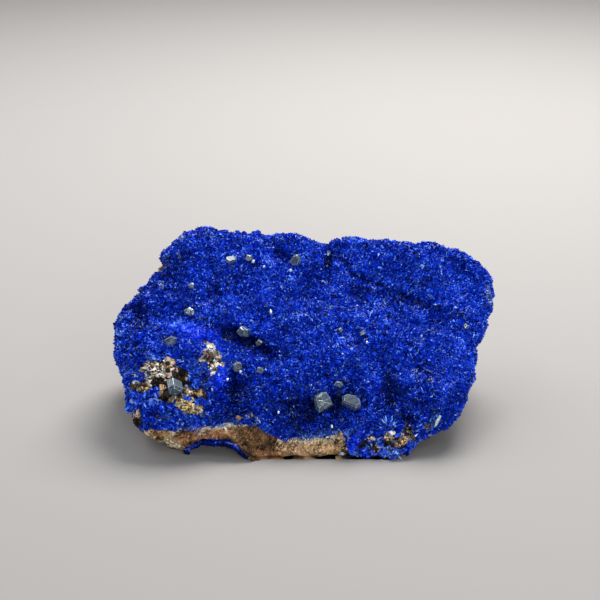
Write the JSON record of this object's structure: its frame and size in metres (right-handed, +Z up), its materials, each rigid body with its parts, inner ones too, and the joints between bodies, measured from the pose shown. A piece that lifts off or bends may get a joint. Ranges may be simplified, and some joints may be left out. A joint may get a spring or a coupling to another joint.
{
  "type": "azurite specimen",
  "caption": "Free-standing mineral specimen: a wedge of iron-stained rock whose sloping face is covered by a druse of small deep-blue azurite crystals with a few grey calcite crystals.",
  "frame": {"origin": "centre of the bounding box at the face the rock rests on, z = 0", "axes": "+X to the specimen's right along its longest side, +Y to its back, +Z up; the crystal face looks towards -Y and up"},
  "size_m": [0.0801, 0.0482, 0.0322],
  "materials": {
    "rock": "rough, granular, iron stained",
    "azurite": "small glassy crystals",
    "calcite": "clear to milky"
  },
  "bodies": {
    "root": {"matrix_rock": "rock", "azurite_crust": "azurite", "azurite_under_crust": "azurite", "calcite_crystal_01": "calcite", "calcite_crystal_02": "calcite", "calcite_crystal_03": "calcite", "calcite_crystal_04": "calcite", "calcite_crystal_05": "calcite", "calcite_crystal_06": "calcite", "calcite_crystal_07": "calcite", "calcite_crystal_08": "calcite", "calcite_crystal_09": "calcite", "calcite_crystal_10": "calcite", "calcite_crystal_11": "calcite", "calcite_crystal_12": "calcite", "calcite_crystal_13": "calcite", "calcite_crystal_14": "calcite", "calcite_crystal_15": "calcite", "calcite_crystal_16": "calcite", "calcite_crystal_17": "calcite", "calcite_crystal_18": "calcite"}
  },
  "joints": []
}
